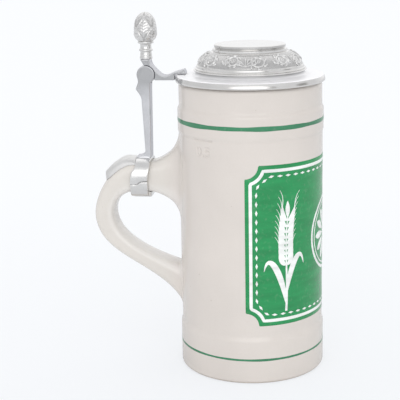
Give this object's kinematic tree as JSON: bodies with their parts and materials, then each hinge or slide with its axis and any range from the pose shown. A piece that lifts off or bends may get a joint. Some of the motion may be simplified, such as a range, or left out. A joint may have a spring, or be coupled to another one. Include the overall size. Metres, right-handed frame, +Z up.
{
  "type": "lidded beer stein",
  "caption": "Tall stoneware beer stein with a looped handle, a banded strap hinge and a domed pewter lid lifted by a scaled cone thumb piece.",
  "frame": {"origin": "centre of the flat base, on the axis of the turned body", "axes": "+Z up along the body's axis; the handle and the hinge lie on the -X side, in the XZ plane; +Y across the handle"},
  "size_m": [0.1335, 0.0844, 0.205],
  "materials": {
    "stoneware": "clear glossy glaze over warm pale grey stoneware",
    "bright_pewter": "bright turned pewter with a satin sheen",
    "dull_pewter": "cast pewter, softly polished",
    "pin_steel": "plain drawn steel"
  },
  "bodies": {
    "mug": {"mug_body": "stoneware", "handle_band": "dull_pewter", "handle_leaf": "dull_pewter", "strap": "dull_pewter", "hinge_pin": "pin_steel"},
    "lid_assembly": {"lid": "bright_pewter", "lid_shank": "dull_pewter", "thumb_lift": "dull_pewter"}
  },
  "joints": [
    {"name": "lid_hinge", "type": "hinge", "parent": "mug", "child": "lid_assembly", "pos_m": [-0.0591, 0, 0.1699], "axis": [0, -1, 0], "range_deg": [0, 110]}
  ]
}
